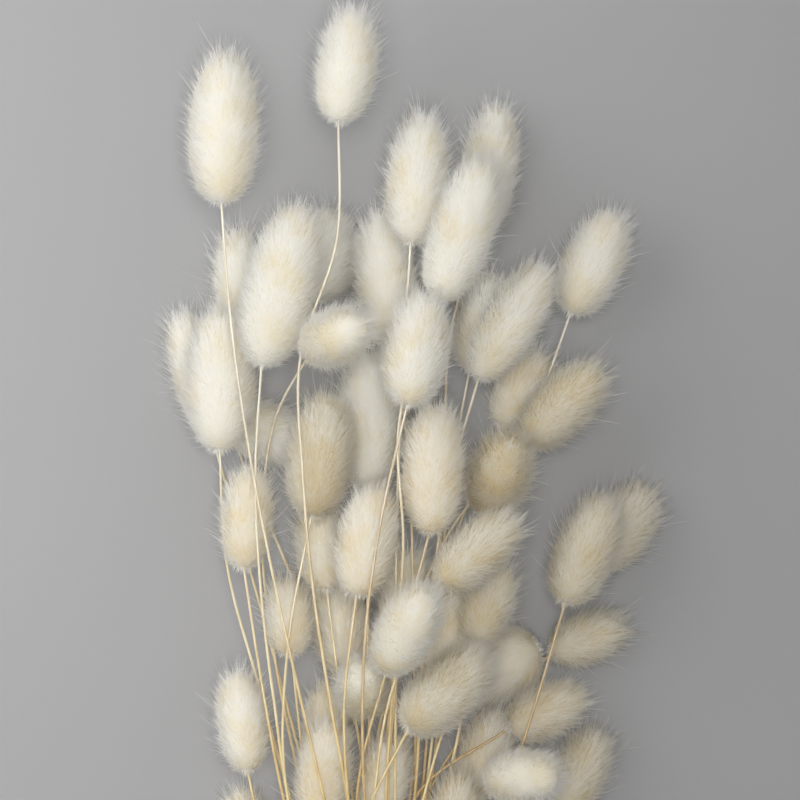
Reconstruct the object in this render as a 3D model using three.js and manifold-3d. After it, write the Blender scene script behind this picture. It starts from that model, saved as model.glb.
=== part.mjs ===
// A dried bunch of bunny tail grass (Lagurus ovatus), lying on a table.
//
// Units are millimetres and +Z is up. The bunch lies along Y: its flower heads point to +Y and its
// cut stem ends to -Y. Forty-nine stalks fan out of a tied neck. Each stalk is a thin stem with one
// egg-shaped flower head, covered with tufts that point outwards and towards the head's tip.
// The lowest heads and the tie rest on the table, at Z = 0.

import * as THREE from 'three';
import Module from 'manifold-3d';
import { mergeVertices } from 'three/addons/utils/BufferGeometryUtils.js';

const wasm = await Module();
wasm.setup();

// Stems
const STEM_RADIUS = 0.6;
const STEM_SIDES = 4;
const SEGMENT_LENGTH = 40; // of a stem's upper part, between two of its bends
const TAIL_LENGTH = 92; // from the neck to the cut ends
const TAIL_UNEVENNESS = 8;

// The neck, where the tie gathers the stems in seven strands of seven
const NECK_HALF_LENGTH = 7;
const STEM_PITCH = 0.82; // under a stem's thickness, so that the stems of a strand press together
const STRAND_GAP = 0.35;
const STRAND_PITCH = 2 * (STEM_PITCH + STEM_RADIUS) + STRAND_GAP;
const BUNDLE_RADIUS = STRAND_PITCH + STEM_PITCH + STEM_RADIUS;

// The tie: twine wound round the neck
const TWINE_THICKNESS = 1.8;
const TWINE_TURNS = 5;
const TIE_FACETS = 20;
const TIE_CLEARANCE = 0.3;
const FACET_SHARE = Math.cos(Math.PI / TIE_FACETS); // of a radius, that a facet's middle stands at
const TIE_INNER_RADIUS = (BUNDLE_RADIUS + TIE_CLEARANCE) / FACET_SHARE;
const NECK_HEIGHT = (TIE_INNER_RADIUS + TWINE_THICKNESS) * FACET_SHARE;

// How far the stems have spread, sideways and upwards, at a distance from the neck's middle
const FANS = {
  neck: { distance: NECK_HALF_LENGTH, wide: 1, high: 1, lowest: NECK_HEIGHT - BUNDLE_RADIUS },
  collar: { distance: 23, wide: 2.3, high: 1.9, lowest: 1.5 },
  tailCollar: { distance: 23, wide: 1.8, high: 1.25, lowest: 1 },
  tailEnd: { distance: TAIL_LENGTH, wide: 2.7, high: 1.35, lowest: 0.4 },
};

// Flower heads
const TUFTS_AROUND = 7;
const TUFT_ROWS = 6;
const CORE_SHARE = 0.88; // of the head's radius, where the tufts begin
const TUFT_SHARE = 1.1; // of the head's radius, that the tufts reach
const TUFT_LEAN = 0.95; // of a row's height, from a tuft's middle to its tip
const SHORTEST_TUFT = 0.92; // of a tuft's full reach
const FIRST_ROW = 0.04; // of the head's length, where the net of tufts begins
const LAST_ROW = 0.97;
const SOCKET_GAP = 0.3; // between a stem's top and its head
const PRESSED_DEPTH = 1.4; // of a head that lies on the table

// Clearances that the stalks keep from each other
const HEAD_CLEARANCE = 0.5;
const STEM_CLEARANCE = 0.35;

// x and y of a head's foot, the height of its middle, its heading from +Y towards +X and its pitch
// above the table, both in degrees, its length and width, and how far its stem sways towards +X
const ON_TABLE = 0; // the height of a head that lies on the table
const HEADS = [
  [-51, 300, 58, 2, 0, 48, 24, 9],
  [-12, 327, 60, 9, 0, 35, 20, -9],
  [12, 287, 44, 6, 0, 41, 21, 0],
  [35, 291, ON_TABLE, 9, 0, 41, 20, 8],
  [22, 268, 62, 18, 0, 46, 22, 0],
  [66, 264, 24, 25, 0, 34, 21, 8],
  [32, 245, ON_TABLE, 15, 0, 31, 17, 0],
  [35, 242, 38, 31, 0, 41, 20, 18],
  [43, 226, ON_TABLE, 30, 0, 26, 18, 0],
  [51, 220, 36, 45, 15, 34, 20, 0],
  [6, 252, 28, -7, 0, 43, 21, 0],
  [-21, 251, 70, 65, 55, 30, 20, 12],
  [-15, 262, ON_TABLE, 0, 0, 34, 18, -8],
  [-37, 246, 53, 14, 0, 52, 25, 17],
  [-46, 261, ON_TABLE, -1, 0, 29, 17, 11],
  [-52, 218, 34, 1, 0, 45, 24, 7],
  [-55, 225, ON_TABLE, -14, 0, 38, 17, 4],
  [11, 233, 74, 9, 0, 35, 22, -9],
  [-2, 205, 22, 1, 0, 44, 23, 0],
  [-25, 218, ON_TABLE, -62, 0, 25, 19, -22],
  [-21, 196, 42, 8, 0, 38, 22, -6],
  [-17, 171, 24, -8, 0, 27, 18, 0],
  [-44, 179, 38, 5, 0, 31, 17, 3],
  [-6, 170, 58, 11, 0, 34, 20, 0],
  [19, 190, 54, 3, 0, 40, 21, 0],
  [38, 198, 42, 19, 45, 33, 22, 0],
  [22, 174, 54, 49, 0, 31, 19, 14],
  [32, 153, 33, 22, 0, 25, 17, 0],
  [64, 167, 30, 22, 0, 35, 21, 6],
  [73, 179, ON_TABLE, 39, 0, 30, 18, 6],
  [60, 149, ON_TABLE, 68, 0, 24, 18, 4],
  [46, 124, 26, 66, 0, 25, 18, 0],
  [63, 96, ON_TABLE, 26, 0, 28, 19, 0],
  [40, 107, 48, 85, 50, 30, 19, 0],
  [4, 145, 64, 27, 35, 34, 20, 0],
  [12, 126, 44, 46, 0, 34, 22, 8],
  [32, 135, ON_TABLE, 41, 0, 31, 20, 0],
  [22, 144, 22, 8, 0, 29, 19, 0],
  [-4, 132, 40, 0, 65, 28, 19, 0],
  [-43, 111, 32, -6, 0, 31, 17, 0],
  [-10, 143, ON_TABLE, -10, 0, 31, 20, 0],
  [-27, 150, 20, -4, 0, 23, 16, 0],
  [-19, 94, 32, 7, 0, 31, 19, 0],
  [0, 93, 26, 13, 0, 27, 17, 0],
  [-18, 113, ON_TABLE, 6, 0, 24, 16, 0],
  [32, 100, ON_TABLE, 20, 0, 30, 18, 0],
  [-38, 73, ON_TABLE, -17, 0, 29, 17, 0],
  [24, 78, 28, 9, 0, 30, 18, 0],
  [10, 155, ON_TABLE, 9, 0, 27, 18, 0],
];

// Materials
const headMaterial = new THREE.MeshStandardMaterial({ color: 0xf1e9d2, roughness: 0.95, metalness: 0 });
const stemMaterial = new THREE.MeshStandardMaterial({ color: 0xdcc590, roughness: 0.6, metalness: 0 });
const tieMaterial = new THREE.MeshStandardMaterial({ color: 0xb08d5b, roughness: 0.9, metalness: 0 });

// Repeatable random numbers from 0 to 1
function makeRandom(seed) {
  let state = seed;
  return () => {
    state = (state * 16807) % 2147483647;
    return state / 2147483647;
  };
}

// A closed geometry as a solid that can be joined and cut, and back
function toSolid(geometry) {
  const bare = geometry.clone();
  bare.deleteAttribute('normal');
  bare.deleteAttribute('uv');
  const merged = mergeVertices(bare);
  return new wasm.Manifold(
    new wasm.Mesh({
      numProp: 3,
      vertProperties: merged.attributes.position.array,
      triVerts: new Uint32Array(merged.index.array),
    }),
  );
}

function toGeometry(solid) {
  const { vertProperties, triVerts } = solid.getMesh();
  const geometry = new THREE.BufferGeometry();
  geometry.setAttribute('position', new THREE.BufferAttribute(vertProperties, 3));
  geometry.setIndex(new THREE.BufferAttribute(triVerts, 1));
  geometry.computeVertexNormals();
  return geometry;
}

// The radius of a head, as a share of half its width, at a share t of its length
function headProfile(t) {
  return (1 - Math.abs(2 * t ** 0.87 - 1) ** 2.3) ** 0.52;
}

function readHead([x, y, height, heading, pitch, length, width, sway]) {
  const turn = THREE.MathUtils.degToRad(heading);
  const rise = THREE.MathUtils.degToRad(pitch);
  const axis = new THREE.Vector3(
    Math.sin(turn) * Math.cos(rise),
    Math.cos(turn) * Math.cos(rise),
    Math.sin(rise),
  );
  const onTable = height === ON_TABLE;
  const middle = onTable ? TUFT_SHARE * (width / 2) - PRESSED_DEPTH : height;
  const foot = new THREE.Vector3(x, y, middle - (axis.z * length) / 2);
  return { foot, axis, length, width, sway, onTable };
}

// A head as a row of balls, for keeping the stalks clear of it
const BALL_PLACES = [0.1, 0.25, 0.42, 0.6, 0.77, 0.92];
function headBalls({ foot, axis, length, width }) {
  return BALL_PLACES.map((t) => ({
    center: foot.clone().addScaledVector(axis, t * length),
    radius: TUFT_SHARE * (width / 2) * headProfile(t),
  }));
}

// Moves heads that would touch apart: a little sideways, mostly upwards or downwards, and only
// sideways where both lie on the table
const HEAD_ROUNDS = 300;
const SIDEWAYS_SHARE = 0.15;
function partHeads(heads) {
  const push = new THREE.Vector3();
  const partPair = (a, b) => {
    for (const p of headBalls(a)) {
      for (const q of headBalls(b)) {
        push.subVectors(p.center, q.center);
        const bite = p.radius + q.radius + HEAD_CLEARANCE - push.length();
        if (bite <= 0) continue;
        if (a.onTable && b.onTable) {
          push.z = 0;
        } else {
          push.x *= SIDEWAYS_SHARE;
          push.y *= SIDEWAYS_SHARE;
          push.z = push.z < 0 ? Math.min(push.z, -1) : Math.max(push.z, 1);
        }
        push.setLength(bite / 4);
        a.foot.add(push);
        b.foot.sub(push);
      }
    }
  };
  const settle = (head) => {
    const balls = headBalls(head);
    const lowest = Math.min(...balls.map(({ center, radius }) => center.z - radius));
    if (head.onTable) head.foot.z = TUFT_SHARE * (head.width / 2) - PRESSED_DEPTH;
    else if (lowest < HEAD_CLEARANCE) head.foot.z += HEAD_CLEARANCE - lowest;
  };
  for (let round = 0; round < HEAD_ROUNDS; round++) {
    heads.forEach((a, i) => heads.slice(0, i).forEach((b) => {
      if (a.foot.distanceTo(b.foot) < a.length + b.length) partPair(a, b);
    }));
    heads.forEach(settle);
  }
}

// One place in the middle and six round it
function hexPlaces(pitch) {
  const places = [new THREE.Vector2()];
  for (let k = 0; k < 6; k++) {
    const angle = (k * Math.PI) / 3;
    places.push(new THREE.Vector2(pitch * Math.cos(angle), pitch * Math.sin(angle)));
  }
  return places;
}

// Sorts stalks by the way they leave the neck into seven equal groups: those nearest the mean, then
// the others by their bearing round it, in the order of hexPlaces
function groupByDirection(stalks) {
  const size = stalks.length / 7;
  const mean = new THREE.Vector2();
  stalks.forEach(({ direction }) => mean.addScaledVector(direction, 1 / stalks.length));
  const distance = ({ direction }) => direction.distanceTo(mean);
  const bearing = ({ direction }) => (direction.clone().sub(mean).angle() + Math.PI / 6) % (2 * Math.PI);
  const nearest = [...stalks].sort((a, b) => distance(a) - distance(b));
  const others = nearest.slice(size).sort((a, b) => bearing(a) - bearing(b));
  const ring = hexPlaces(1).slice(1).map((_, k) => others.slice(k * size, (k + 1) * size));
  return [nearest.slice(0, size), ...ring];
}

// A stem's place at one of the fans, on the head side (+1) or the tail side (-1) of the neck
function fannedPlace(place, fan, side) {
  const height = fan.lowest + (place.y + BUNDLE_RADIUS) * fan.high;
  return new THREE.Vector3(place.x * fan.wide, side * fan.distance, height);
}

// The last bend guide below a head, straight under it
const HEAD_GUIDE_SHARE = 0.36; // of the way from the neck to the head
const LOWEST_GUIDE = 4;
function guideBelow(head) {
  const reach = head.foot.length();
  const guide = head.foot.clone().addScaledVector(head.axis, -HEAD_GUIDE_SHARE * reach);
  guide.z = Math.max(guide.z, LOWEST_GUIDE);
  return guide;
}

// The free part of a stem, from the neck's collar to just under its head. It leaves the collar
// between the way that it came through the neck and the way to its last guide.
const COLLAR_GUIDE_SHARE = 0.45; // of the way from the collar to the last guide
const FEWEST_SEGMENTS = 3;
const MOST_SEGMENTS = 8;
function upperPoints({ place, head }) {
  const start = fannedPlace(place, FANS.collar, 1);
  const end = head.foot.clone().addScaledVector(head.axis, -SOCKET_GAP);
  const lastGuide = guideBelow(head);
  const onward = lastGuide.clone().sub(start).multiplyScalar(COLLAR_GUIDE_SHARE);
  const leaving = start.clone().sub(fannedPlace(place, FANS.neck, 1)).setLength(onward.length());
  const firstGuide = start.clone().add(onward.lerp(leaving, 0.5));
  firstGuide.x += head.sway;
  lastGuide.x += head.sway;
  const bow = new THREE.CubicBezierCurve3(start, firstGuide, lastGuide, end);
  const wanted = Math.round(bow.getLength() / SEGMENT_LENGTH);
  return bow.getSpacedPoints(THREE.MathUtils.clamp(wanted, FEWEST_SEGMENTS, MOST_SEGMENTS));
}

// The gap between two segments where they pass nearest, and the shares s and t along them there
function closestApproach(a0, a1, b0, b1) {
  const u = a1.clone().sub(a0);
  const v = b1.clone().sub(b0);
  const w = a0.clone().sub(b0);
  const clamp = (value) => THREE.MathUtils.clamp(value, 0, 1);
  const uu = u.dot(u);
  const uv = u.dot(v);
  const vv = v.dot(v);
  const spread = uu * vv - uv * uv;
  let s = spread > 1e-9 ? clamp((uv * v.dot(w) - vv * u.dot(w)) / spread) : 0.5;
  const t = clamp((uv * s + v.dot(w)) / vv);
  s = clamp((uv * t - u.dot(w)) / uu);
  return { s, t, gap: w.addScaledVector(u, s).addScaledVector(v, -t) };
}

// Bends the stems clear of each other, of other stalks' heads and of the table. Each keeps its
// own curve as far as it can.
const STEM_ROUNDS = 260;
const SPRINGY_SHARE = 0.75; // of the rounds, in which the stems spring back to their own curve
const STIFFNESS = 0.25;
const HEAD_PUSH = 0.8; // of a stem's bite into a head, that one round takes out
const NEAR_SEGMENTS = 2.2 * SEGMENT_LENGTH; // between the starts of segments that could touch
function partStems(stalks) {
  const balls = stalks.map(({ head }) => headBalls(head));
  const bends = stalks.map(({ upper }) => upper.map((point, k) => {
    if (k === 0 || k === upper.length - 1) return null;
    return point.clone().sub(upper[k - 1].clone().lerp(upper[k + 1], 0.5));
  }));
  // Moves a stem's segment k by a step at the share t along it. Both ends of a stem are held.
  const moveSegment = (points, k, t, step, scale) => {
    if (k > 0) points[k].addScaledVector(step, scale * (1 - t));
    if (k + 2 < points.length) points[k + 1].addScaledVector(step, scale * t);
  };
  const straighten = (points, bend) => {
    for (let k = 1; k < points.length - 1; k++) {
      const goal = points[k - 1].clone().lerp(points[k + 1], 0.5).add(bend[k]);
      points[k].lerp(goal, STIFFNESS);
    }
  };
  const clearHead = (points, headBallList) => {
    const segment = new THREE.Line3();
    const near = new THREE.Vector3();
    for (let k = 0; k + 1 < points.length; k++) {
      for (const { center, radius } of headBallList) {
        segment.set(points[k], points[k + 1]);
        segment.closestPointToPoint(center, true, near);
        const step = near.sub(center);
        const bite = radius + STEM_RADIUS + STEM_CLEARANCE - step.length();
        if (bite <= 0) continue;
        const t = segment.closestPointToPointParameter(center, true);
        moveSegment(points, k, t, step.setLength(bite), HEAD_PUSH);
      }
    }
  };
  const clearStem = (a, b) => {
    for (let k = 0; k + 1 < a.length; k++) {
      for (let m = 0; m + 1 < b.length; m++) {
        if (a[k].distanceTo(b[m]) > NEAR_SEGMENTS) continue;
        const { s, t, gap } = closestApproach(a[k], a[k + 1], b[m], b[m + 1]);
        const bite = 2 * STEM_RADIUS + STEM_CLEARANCE - gap.length();
        if (bite <= 0) continue;
        gap.setLength(bite);
        moveSegment(a, k, s, gap, 0.5);
        moveSegment(b, m, t, gap, -0.5);
      }
    }
  };
  for (let round = 0; round < STEM_ROUNDS; round++) {
    const springy = round < SPRINGY_SHARE * STEM_ROUNDS;
    stalks.forEach(({ upper }, i) => {
      if (springy) straighten(upper, bends[i]);
      stalks.forEach((other, j) => {
        if (j < i) clearStem(upper, other.upper);
        if (j !== i) clearHead(upper, balls[j]);
      });
      upper.slice(1, -1).forEach((point) => {
        point.z = Math.max(point.z, STEM_RADIUS + STEM_CLEARANCE);
      });
    });
  }
}

// A path through given points, whose steps are the stretches between them
class BentPath extends THREE.Curve {
  constructor(points) {
    super();
    this.points = points;
  }

  getPointAt(u, target = new THREE.Vector3()) {
    const last = this.points.length - 1;
    return target.copy(this.points[Math.round(u * last)]);
  }

  getTangentAt(u, target = new THREE.Vector3()) {
    const last = this.points.length - 1;
    const k = Math.round(u * last);
    const before = this.points[Math.max(k - 1, 0)];
    const here = this.points[k];
    const after = this.points[Math.min(k + 1, last)];
    const arriving = here.clone().sub(before).normalize();
    return target.copy(after).sub(here).normalize().add(arriving).normalize();
  }

  // One direction of the sections stays level and crosswise, so that pressed stems lie edge to edge
  computeFrenetFrames(steps) {
    const across = new THREE.Vector3(1, 0, 0);
    const tangents = Array.from({ length: steps + 1 }, (_, k) => this.getTangentAt(k / steps));
    const normals = tangents.map((tangent) => across.clone().projectOnPlane(tangent).normalize());
    const binormals = tangents.map((tangent, k) => tangent.clone().cross(normals[k]));
    return { tangents, normals, binormals };
  }
}

function stemGeometry(points) {
  const corners = Array.from({ length: STEM_SIDES }, (_, k) => {
    const angle = (k * 2 * Math.PI) / STEM_SIDES;
    return new THREE.Vector2(STEM_RADIUS * Math.cos(angle), STEM_RADIUS * Math.sin(angle));
  });
  return new THREE.ExtrudeGeometry(new THREE.Shape(corners), {
    steps: points.length - 1,
    bevelEnabled: false,
    extrudePath: new BentPath(points),
  });
}

// Seven stems that the tie presses into one strand
function strandGeometry(stalks, random) {
  const solids = stalks.map(({ place, upper }) => {
    const end = fannedPlace(place, FANS.tailEnd, -1);
    end.y += TAIL_UNEVENNESS * (2 * random() - 1);
    return toSolid(stemGeometry([
      end,
      fannedPlace(place, FANS.tailCollar, -1),
      fannedPlace(place, FANS.neck, -1),
      fannedPlace(place, FANS.neck, 1),
      ...upper,
    ]));
  });
  return toGeometry(solids.reduce((joined, solid) => joined.add(solid)));
}

// A head standing on the origin along +Z: a net of diamonds, each raised into one tuft
function headGeometry({ length, width }, random) {
  const positions = [];
  const triangles = [];
  const addPoint = (share, radius, angle) => {
    positions.push(radius * Math.cos(angle), radius * Math.sin(angle), share * length);
    return positions.length / 3 - 1;
  };
  const step = (2 * Math.PI) / TUFTS_AROUND;
  const shareOf = (row) => THREE.MathUtils.lerp(FIRST_ROW, LAST_ROW, row / TUFT_ROWS);
  const radiusAt = (share) => (width / 2) * headProfile(share);
  const net = [];
  for (let row = 0; row <= TUFT_ROWS; row++) {
    const share = shareOf(row);
    const turn = (row % 2) / 2; // every other row is turned by half a step
    net.push(Array.from({ length: TUFTS_AROUND }, (_, k) => (
      addPoint(share, CORE_SHARE * radiusAt(share), (k + turn) * step)
    )));
  }
  const foot = addPoint(0, 0, 0);
  const crown = addPoint(1, 0, 0);
  for (let row = 0; row <= TUFT_ROWS; row++) {
    for (let k = 0; k < TUFTS_AROUND; k++) {
      const left = net[row][k];
      const right = net[row][(k + 1) % TUFTS_AROUND];
      const between = (k + (row % 2)) % TUFTS_AROUND; // the point of the next rows between the two
      if (row === 0) {
        triangles.push(foot, right, left, left, right, net[1][between]);
      } else if (row === TUFT_ROWS) {
        triangles.push(net[row - 1][between], right, left, left, right, crown);
      } else {
        const tipShare = shareOf(row + TUFT_LEAN);
        const reach = TUFT_SHARE * THREE.MathUtils.lerp(SHORTEST_TUFT, 1, random());
        const tip = addPoint(tipShare, reach * radiusAt(tipShare), (k + (row % 2) / 2 + 0.5) * step);
        const bottom = net[row - 1][between];
        const top = net[row + 1][between];
        triangles.push(bottom, right, tip, right, top, tip, top, left, tip, left, bottom, tip);
      }
    }
  }
  const geometry = new THREE.BufferGeometry();
  geometry.setAttribute('position', new THREE.Float32BufferAttribute(positions, 3));
  geometry.setIndex(triangles);
  geometry.computeVertexNormals();
  return geometry;
}

function makeHead(head, random) {
  const mesh = new THREE.Mesh(headGeometry(head, random), headMaterial);
  mesh.position.copy(head.foot);
  mesh.quaternion.setFromUnitVectors(new THREE.Vector3(0, 0, 1), head.axis);
  if (head.onTable) {
    mesh.updateMatrix();
    const size = 4 * head.length;
    const table = new THREE.BoxGeometry(size, size, size);
    table.translate(head.foot.x, head.foot.y, -size / 2);
    table.applyMatrix4(mesh.matrix.clone().invert());
    mesh.geometry = toGeometry(toSolid(mesh.geometry).subtract(toSolid(table)));
  }
  return mesh;
}

// A band round the neck, along Y, with one rib for each turn of the twine
const VALLEY_DEPTH = 0.35 * TWINE_THICKNESS;
const RIB_FLAT = 0.4 * TWINE_THICKNESS; // the width of a rib's top
function tieGeometry() {
  const halfLength = (TWINE_TURNS * TWINE_THICKNESS) / 2;
  const outerRadius = TIE_INNER_RADIUS + TWINE_THICKNESS;
  const valleyRadius = outerRadius - VALLEY_DEPTH;
  const profile = [
    new THREE.Vector2(TIE_INNER_RADIUS, halfLength),
    new THREE.Vector2(TIE_INNER_RADIUS, -halfLength),
    new THREE.Vector2(valleyRadius, -halfLength),
  ];
  for (let turn = 0; turn < TWINE_TURNS; turn++) {
    const middle = (turn + 0.5) * TWINE_THICKNESS - halfLength;
    profile.push(
      new THREE.Vector2(outerRadius, middle - RIB_FLAT / 2),
      new THREE.Vector2(outerRadius, middle + RIB_FLAT / 2),
      new THREE.Vector2(valleyRadius, middle + TWINE_THICKNESS / 2),
    );
  }
  profile.push(profile[0].clone());
  return new THREE.LatheGeometry(profile, TIE_FACETS, Math.PI / TIE_FACETS);
}

const random = makeRandom(2024);
const heads = HEADS.map(readHead);
partHeads(heads);

const stalks = heads.map((head) => {
  const guide = guideBelow(head);
  const direction = new THREE.Vector2(guide.x, guide.z - NECK_HEIGHT).divideScalar(guide.y);
  return { head, direction };
});
const strandPlaces = hexPlaces(STRAND_PITCH);
const stemPlaces = hexPlaces(STEM_PITCH);
const strands = groupByDirection(stalks);
strands.forEach((strand, s) => {
  groupByDirection(strand).forEach(([stalk], k) => {
    stalk.place = strandPlaces[s].clone().add(stemPlaces[k]);
    stalk.upper = upperPoints(stalk);
  });
});
partStems(stalks);

const numbered = (name, k) => `${name}_${String(k + 1).padStart(2, '0')}`;
const bunch = new THREE.Group();

const headGroup = new THREE.Group();
heads.forEach((head, k) => {
  const mesh = makeHead(head, random);
  mesh.name = numbered('head', k);
  headGroup.add(mesh);
});
bunch.add(headGroup);

const stemGroup = new THREE.Group();
strands.forEach((strand, k) => {
  const mesh = new THREE.Mesh(strandGeometry(strand, random), stemMaterial);
  mesh.name = numbered('stems', k);
  stemGroup.add(mesh);
});
bunch.add(stemGroup);

const tie = new THREE.Mesh(tieGeometry(), tieMaterial);
tie.name = 'tie';
tie.position.z = NECK_HEIGHT;
bunch.add(tie);

// The origin is on the table, under the middle of the bunch
const middle = new THREE.Box3().setFromObject(bunch).getCenter(new THREE.Vector3());
bunch.position.set(-middle.x, -middle.y, 0);

export default bunch;
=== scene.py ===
"""A dried bunch of bunny tail grass, laid down, dressed round its CAD frame. Metres, +Z up."""

import math

import bpy
import numpy as np
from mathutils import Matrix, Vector


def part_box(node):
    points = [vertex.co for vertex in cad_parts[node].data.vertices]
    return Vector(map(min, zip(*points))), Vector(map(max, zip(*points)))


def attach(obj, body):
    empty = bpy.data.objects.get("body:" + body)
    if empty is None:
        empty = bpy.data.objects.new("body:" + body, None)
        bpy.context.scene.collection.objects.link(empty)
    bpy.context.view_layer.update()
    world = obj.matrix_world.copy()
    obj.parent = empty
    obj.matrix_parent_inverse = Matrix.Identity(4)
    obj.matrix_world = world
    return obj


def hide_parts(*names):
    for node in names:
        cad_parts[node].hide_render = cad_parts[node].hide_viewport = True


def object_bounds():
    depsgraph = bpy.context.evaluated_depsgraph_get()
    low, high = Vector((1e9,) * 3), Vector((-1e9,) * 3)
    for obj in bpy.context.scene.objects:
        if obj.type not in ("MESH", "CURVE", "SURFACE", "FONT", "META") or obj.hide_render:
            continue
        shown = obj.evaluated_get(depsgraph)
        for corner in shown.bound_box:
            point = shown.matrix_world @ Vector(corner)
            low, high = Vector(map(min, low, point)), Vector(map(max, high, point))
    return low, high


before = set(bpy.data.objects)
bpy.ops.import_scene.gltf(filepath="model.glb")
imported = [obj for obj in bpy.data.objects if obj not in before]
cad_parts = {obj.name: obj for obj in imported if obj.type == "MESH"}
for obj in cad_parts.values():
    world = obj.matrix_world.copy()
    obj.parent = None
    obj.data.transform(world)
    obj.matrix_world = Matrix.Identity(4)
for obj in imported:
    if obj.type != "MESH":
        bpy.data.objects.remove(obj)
cad_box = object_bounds()

# ---------------------------------------------------------------------------------------------
# The frame's places
# ---------------------------------------------------------------------------------------------
tie_low, tie_high = (np.array(corner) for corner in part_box("tie"))
NECK = (tie_low + tie_high) / 2
COLLAR_FROM_NECK = 0.023  # where the stems come apart, on either side of the neck
NECK_HALF_LENGTH = 0.007
HEAD_NODES = sorted(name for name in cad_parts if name.startswith("head_"))
STEM_NODES = sorted(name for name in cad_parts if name.startswith("stems_"))

# The CAD model's spread of a stem's place in the neck, sideways and upwards, at the two collars
# and at the cut ends
COLLAR_WIDE, COLLAR_HIGH, COLLAR_LOWEST = 2.3, 1.9, 0.0015
TAIL_COLLAR_WIDE, TAIL_COLLAR_HIGH, TAIL_COLLAR_LOWEST = 1.8, 1.25, 0.001
TAIL_WIDE, TAIL_HIGH, TAIL_LOWEST = 2.7, 1.35, 0.0004
BUNDLE_RADIUS = 0.00461
COLLAR_SLACK = 0.001  # how far from its collar a stem's ring there may lie, along Y
RING_EDGE = 0.0013  # longer than the edges of a stem's square section, and than its diagonal


def welded(node):
    """A CAD node's corners, each once to the micrometre, and its edges between them."""
    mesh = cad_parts[node].data
    corners = np.empty(len(mesh.vertices) * 3)
    mesh.vertices.foreach_get("co", corners)
    corners, place = np.unique(corners.reshape(-1, 3).round(6), axis=0, return_inverse=True)
    edges = np.empty(len(mesh.edges) * 2, int)
    mesh.edges.foreach_get("vertices", edges)
    edges = np.sort(place.ravel()[edges].reshape(-1, 2), axis=1)
    edges = np.unique(edges[edges[:, 0] != edges[:, 1]], axis=0)
    return corners, edges


def grouped(count, edges):
    """The lists of corners that the edges join."""
    leader = list(range(count))

    def find(corner):
        while leader[corner] != corner:
            corner = leader[corner]
        return corner

    for a, b in edges:
        leader[find(a)] = find(b)
    groups = {}
    for corner in range(count):
        groups.setdefault(find(corner), []).append(corner)
    return list(groups.values())


def stem_paths(node):
    """The centreline of each stem in a CAD node, from its cut end to its head."""
    corners, edges = welded(node)
    length = np.linalg.norm(corners[edges[:, 0]] - corners[edges[:, 1]], axis=1)
    free = corners[:, 1] > NECK[1] + COLLAR_FROM_NECK - COLLAR_SLACK
    both_free = free[edges].all(axis=1)
    rings = [group for group in grouped(len(corners), edges[both_free & (length < RING_EDGE)])
             if free[group[0]]]
    ring_of = {corner: k for k, group in enumerate(rings) for corner in group}
    centre = [corners[group].mean(axis=0) for group in rings]
    links = [set() for _ in rings]
    for a, b in edges[both_free & (length >= RING_EDGE)]:
        if ring_of[a] != ring_of[b]:
            links[ring_of[a]].add(ring_of[b])
            links[ring_of[b]].add(ring_of[a])
    cut = corners[:, 1] < NECK[1] - 2 * COLLAR_FROM_NECK
    cut_rings = [group for group in grouped(len(corners), edges[length < RING_EDGE])
                 if cut[group].all()]
    cut_ends = [corners[group].mean(axis=0) for group in cut_rings]
    paths = []
    for k, place in enumerate(centre):
        # A stem starts at the ring on its collar, which has one neighbour
        if len(links[k]) != 1 or place[1] > NECK[1] + COLLAR_FROM_NECK + COLLAR_SLACK:
            continue
        chain = [k]
        while onward := links[chain[-1]] - set(chain):
            chain.append(onward.pop())
        upper = [centre[ring] for ring in chain]
        paths.append(whole_path(upper, cut_ends))
    return paths


def whole_path(upper, cut_ends):
    """A stem's points from its cut end, through the neck, to the points above its collar."""
    across = (upper[0][0] - NECK[0]) / COLLAR_WIDE
    up = (upper[0][2] - COLLAR_LOWEST) / COLLAR_HIGH - BUNDLE_RADIUS

    def place(wide, high, lowest, along):
        return np.array([NECK[0] + across * wide, NECK[1] + along, lowest + (up + BUNDLE_RADIUS) * high])

    wanted = place(TAIL_WIDE, TAIL_HIGH, TAIL_LOWEST, 0)
    end = min(cut_ends, key=lambda cut_end: np.hypot(*(cut_end - wanted)[[0, 2]]))
    in_neck = NECK[2] - BUNDLE_RADIUS
    return np.array([
        end,
        place(TAIL_COLLAR_WIDE, TAIL_COLLAR_HIGH, TAIL_COLLAR_LOWEST, -COLLAR_FROM_NECK),
        place(1, 1, in_neck, -NECK_HALF_LENGTH),
        place(1, 1, in_neck, NECK_HALF_LENGTH),
        *upper,
    ])


stems = [(node, path) for node in STEM_NODES for path in stem_paths(node)]
STEM_TOPS = np.array([path[-1] for _, path in stems])

TUFT_SHARE = 1.1  # of half a head's width, that its CAD tufts reach


def read_head(node):
    """A head's foot, axis, length and radius, from its CAD node."""
    corners, _ = welded(node)
    to_stems = np.linalg.norm(corners[:, None] - STEM_TOPS[None], axis=2)
    foot = corners[to_stems.min(axis=1).argmin()]
    crown = corners[np.linalg.norm(corners - foot, axis=1).argmax()]
    length = np.linalg.norm(crown - foot)
    axis = (crown - foot) / length
    spokes = corners - foot
    spokes = spokes - np.outer(spokes @ axis, axis)
    radius = np.linalg.norm(spokes, axis=1).max() / TUFT_SHARE
    return foot, axis, length, radius


heads = {node: read_head(node) for node in HEAD_NODES}

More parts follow.
